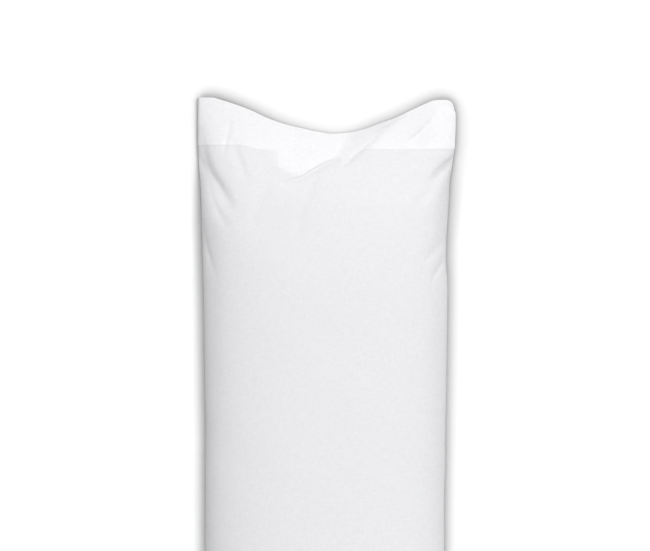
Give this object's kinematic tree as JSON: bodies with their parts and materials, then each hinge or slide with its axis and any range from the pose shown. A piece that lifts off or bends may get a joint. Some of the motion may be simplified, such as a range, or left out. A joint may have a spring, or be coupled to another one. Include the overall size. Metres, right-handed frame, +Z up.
{
  "type": "pillowcase",
  "caption": "Long white cotton pillowcase in its filled shape, with an open mouth, a deep plain hem, a folded side and a sewn side and end.",
  "frame": {"origin": "on the surface that the case lies on, under the middle of its box", "axes": "+Y along the length, from the closed end towards the open mouth; +X across, towards the sewn side; +Z up, out of the upper side"},
  "size_m": [0.506, 1.367, 0.144],
  "materials": {
    "cotton": "matte white plain-weave cotton"
  },
  "bodies": {
    "root": {"case": "cotton"}
  },
  "joints": []
}
